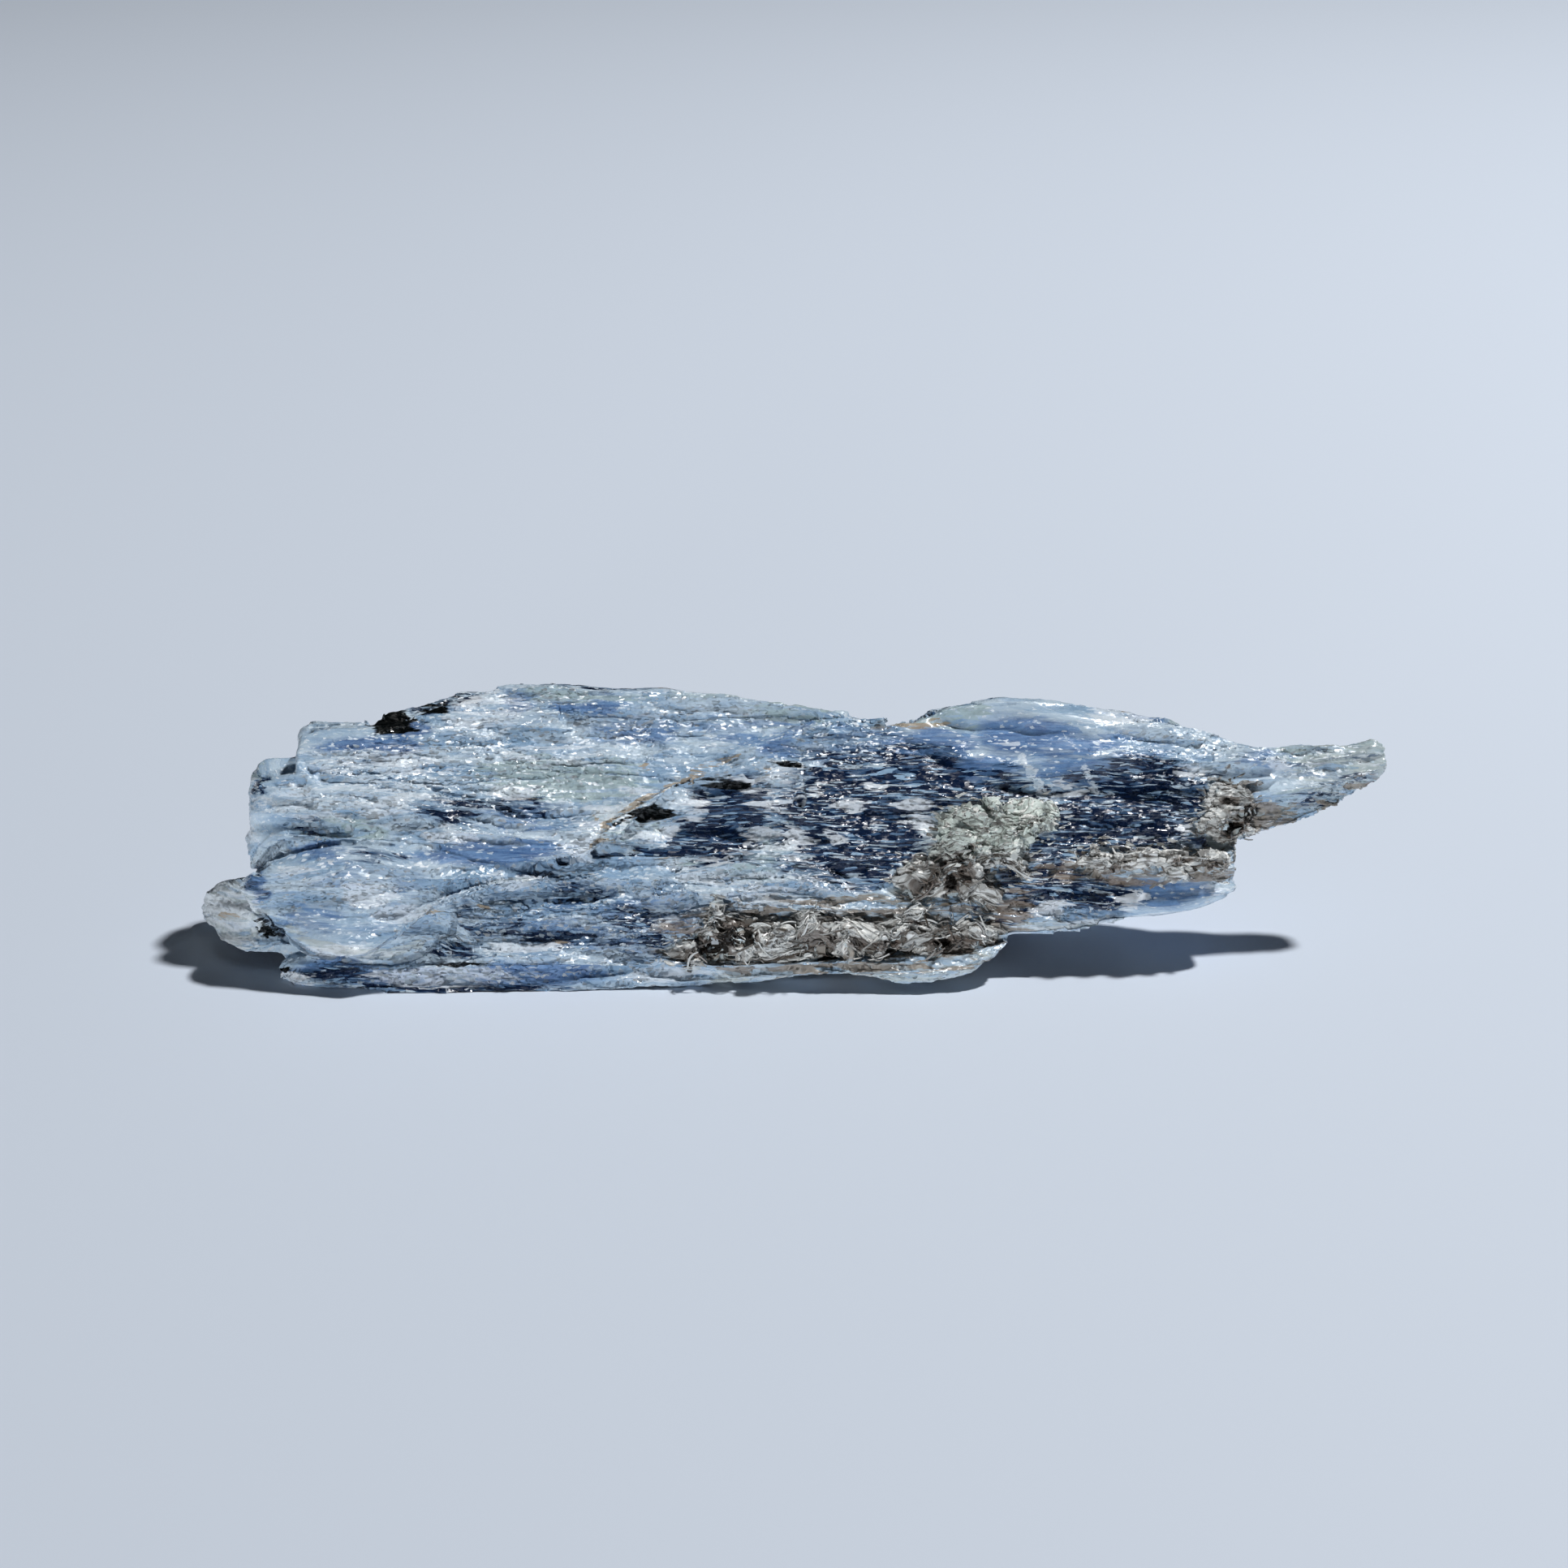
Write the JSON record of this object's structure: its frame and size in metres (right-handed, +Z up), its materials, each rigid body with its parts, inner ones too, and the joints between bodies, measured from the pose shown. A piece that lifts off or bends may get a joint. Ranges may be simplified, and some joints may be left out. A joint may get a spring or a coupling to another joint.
{
  "type": "kyanite blade cluster",
  "caption": "Elongated mineral specimen of intergrown blue kyanite blades with grey and brown mica grown into its face, lying on a worn flat underside.",
  "frame": {"origin": "bottom centre of the specimen's box, on the surface it rests on", "axes": "+X along the blades towards the pointed end, -Y is the side of the broad leaning face, +Z up"},
  "size_m": [0.092, 0.0212, 0.0195],
  "materials": {
    "kyanite": "glassy to pearly, splintery lengthwise grain, pale and navy zones with white cleavage glints",
    "grey_mica": "pearly grey-green flakes",
    "brown_mica": "satin brown-grey curled flakes with dark hollows"
  },
  "bodies": {
    "root": {"kyanite_blades": "kyanite", "mica_knot": "grey_mica", "mica_seam": "brown_mica", "mica_tip": "brown_mica", "mica_shelf": "brown_mica"}
  },
  "joints": []
}
